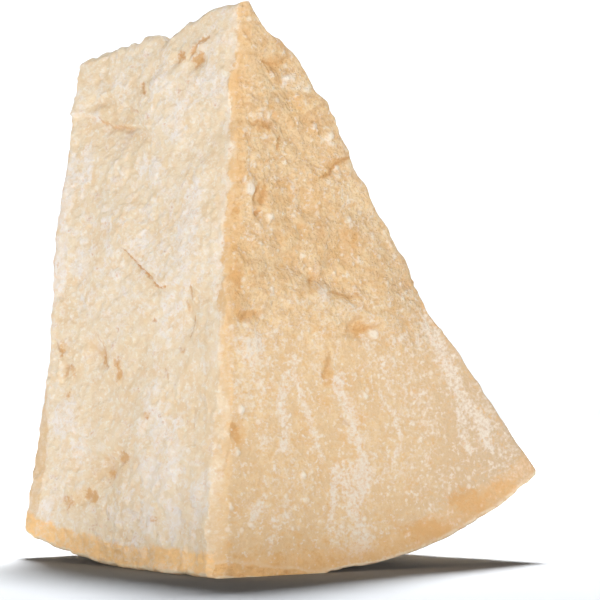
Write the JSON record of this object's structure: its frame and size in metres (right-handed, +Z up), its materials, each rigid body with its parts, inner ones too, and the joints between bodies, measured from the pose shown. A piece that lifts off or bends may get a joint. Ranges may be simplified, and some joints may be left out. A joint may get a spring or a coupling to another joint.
{
  "type": "hard cheese wedge",
  "caption": "Craggy wedge of hard aged cheese broken from half a wheel, standing tip up on its curved side rind, with a tan rind below and on one end.",
  "frame": {"origin": "middle of the small flat on the side rind that the wedge stands on", "axes": "+Z up from the side rind to the tip; +Y along the wheel's axis, from the split face to the wheel's flat rind; +X across the side rind, from the near radial break to the far one"},
  "size_m": [0.1383, 0.1208, 0.1915],
  "materials": {
    "cheese": "dry, granular, cream to light caramel, with a tan rind"
  },
  "bodies": {
    "root": {"cheese_wedge": "cheese"}
  },
  "joints": []
}
